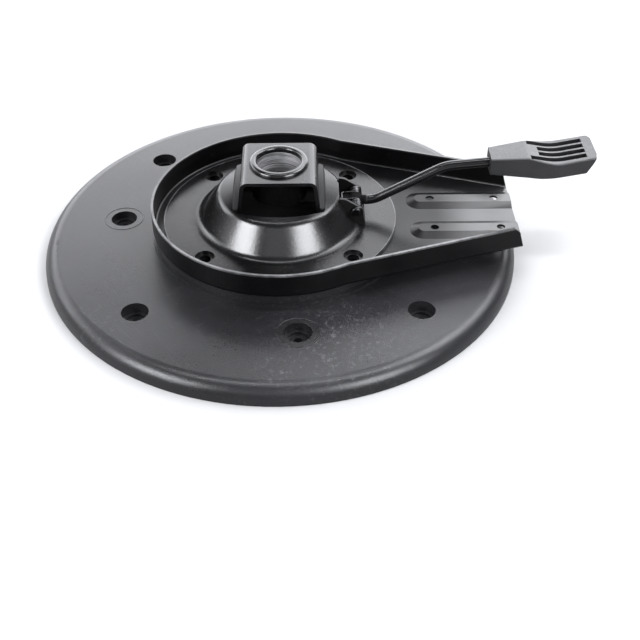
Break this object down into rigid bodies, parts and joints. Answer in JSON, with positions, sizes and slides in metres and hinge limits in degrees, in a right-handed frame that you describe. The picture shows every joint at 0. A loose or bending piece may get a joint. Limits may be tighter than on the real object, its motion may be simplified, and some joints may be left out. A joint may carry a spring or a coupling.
{
  "type": "gas lift seat plate",
  "caption": "Round moulded seat disc with a pressed steel tray and dome, a bracket with a tapered gas-lift socket and a sprung release lever with a slotted grip",
  "frame": {"origin": "where the axis of the tapered socket meets the seat face of the disc", "axes": "+Z away from the seat along the socket axis, +X along the tray's tail to the lever handle, +Y to the left of the lever seen from above"},
  "size_m": [0.3435, 0.3, 0.0709],
  "materials": {
    "disc": "moulded, fine grain, satin",
    "insert": "moulded, satin",
    "tray": "black powder coat, satin",
    "dome": "black paint, glossy",
    "bracket": "black paint, satin gloss",
    "socket": "black paint outside, bare turned steel in the bore",
    "weld": "painted weld bead",
    "yoke": "black paint",
    "pin": "dark oiled steel",
    "rod": "black paint, glossy",
    "handle": "moulded, matte",
    "spring": "dark spring wire"
  },
  "bodies": {
    "plate": {"base_disc": "disc", "disc_insert_1": "insert", "disc_insert_2": "insert", "disc_insert_3": "insert", "disc_insert_4": "insert", "tray": "tray", "dome_plate": "dome", "socket_bracket": "bracket", "taper_socket": "socket", "weld_strip_right": "weld", "weld_strip_left": "weld", "lever_yoke": "yoke", "pivot_pin": "pin", "return_spring": "spring"},
    "lever": {"lever_rod": "rod", "lever_handle": "handle"}
  },
  "joints": [
    {"name": "lever_tilt", "type": "hinge", "parent": "plate", "child": "lever", "pos_m": [0.048, 0, 0.0324], "axis": [0, 1, 0], "range_deg": [0, 5.5], "stiffness_Nm_per_rad": 0.6, "springref_deg": -20.05, "deforming": ["return_spring"]}
  ]
}
